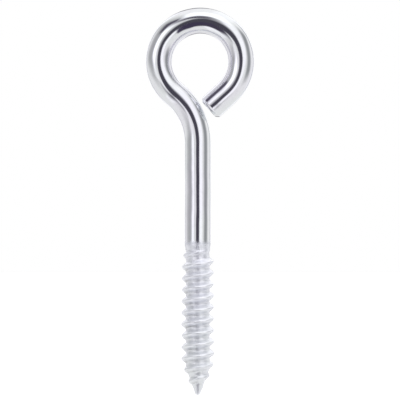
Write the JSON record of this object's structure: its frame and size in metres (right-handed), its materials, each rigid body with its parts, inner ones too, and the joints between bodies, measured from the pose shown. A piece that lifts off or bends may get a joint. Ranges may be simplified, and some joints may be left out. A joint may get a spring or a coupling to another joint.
{
  "type": "eye bolt",
  "caption": "Screw eye bent from round steel wire: a nearly closed round eye, a plain shank and a coarse right-hand wood thread with a gimlet point.",
  "frame": {"origin": "on the shank's axis where the thread starts, which is where the wood's surface lies when the eye is driven home", "axes": "+Z along the shank towards the eye, the eye lies in the XZ plane, and its open side faces +X"},
  "size_m": [0.0265, 0.0082, 0.0952],
  "materials": {
    "bright_zinc": "bright clear zinc plate on smooth drawn steel wire",
    "rolled_zinc": "clear zinc plate on a rolled thread, satin with a faint lavender tint"
  },
  "bodies": {
    "root": {"eye_tail": "bright_zinc", "eye_loop": "bright_zinc", "neck_bend": "bright_zinc", "shank": "bright_zinc", "lag_thread": "rolled_zinc", "gimlet_point": "rolled_zinc"}
  },
  "joints": []
}
